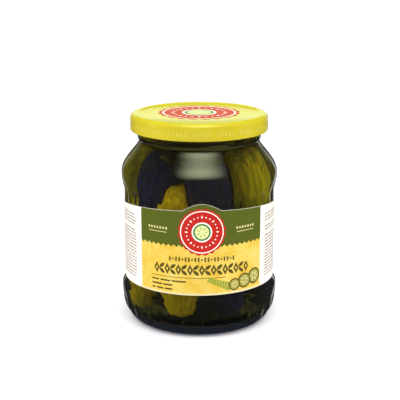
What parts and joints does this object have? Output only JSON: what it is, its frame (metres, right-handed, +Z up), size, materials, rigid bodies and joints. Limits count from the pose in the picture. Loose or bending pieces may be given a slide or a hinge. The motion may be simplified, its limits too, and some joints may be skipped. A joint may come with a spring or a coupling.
{
  "type": "pickle jar",
  "caption": "Shut glass twist-off jar of whole pickled gherkins, with a pressed metal cap, a wrap-around paper label and flutes pressed round its shoulder and heel.",
  "frame": {"origin": "middle of the jar's foot, on the surface it stands on", "axes": "+Z up along the jar's axis, -Y towards the viewer of the label's front, +X to that viewer's right"},
  "size_m": [0.0982, 0.0982, 0.1314],
  "materials": {
    "glass_clear": "clear soda-lime container glass, fire-polished",
    "cap_enamel": "glossy yellow stoving enamel on pressed tinplate",
    "label_paper": "semi-gloss coated paper printed in green, yellow, red and white",
    "gherkin_skin": "wet, warty olive-green gherkin skin"
  },
  "bodies": {
    "root": {"jar": "glass_clear", "cap": "cap_enamel", "label": "label_paper", "gherkins": "gherkin_skin"}
  },
  "joints": []
}
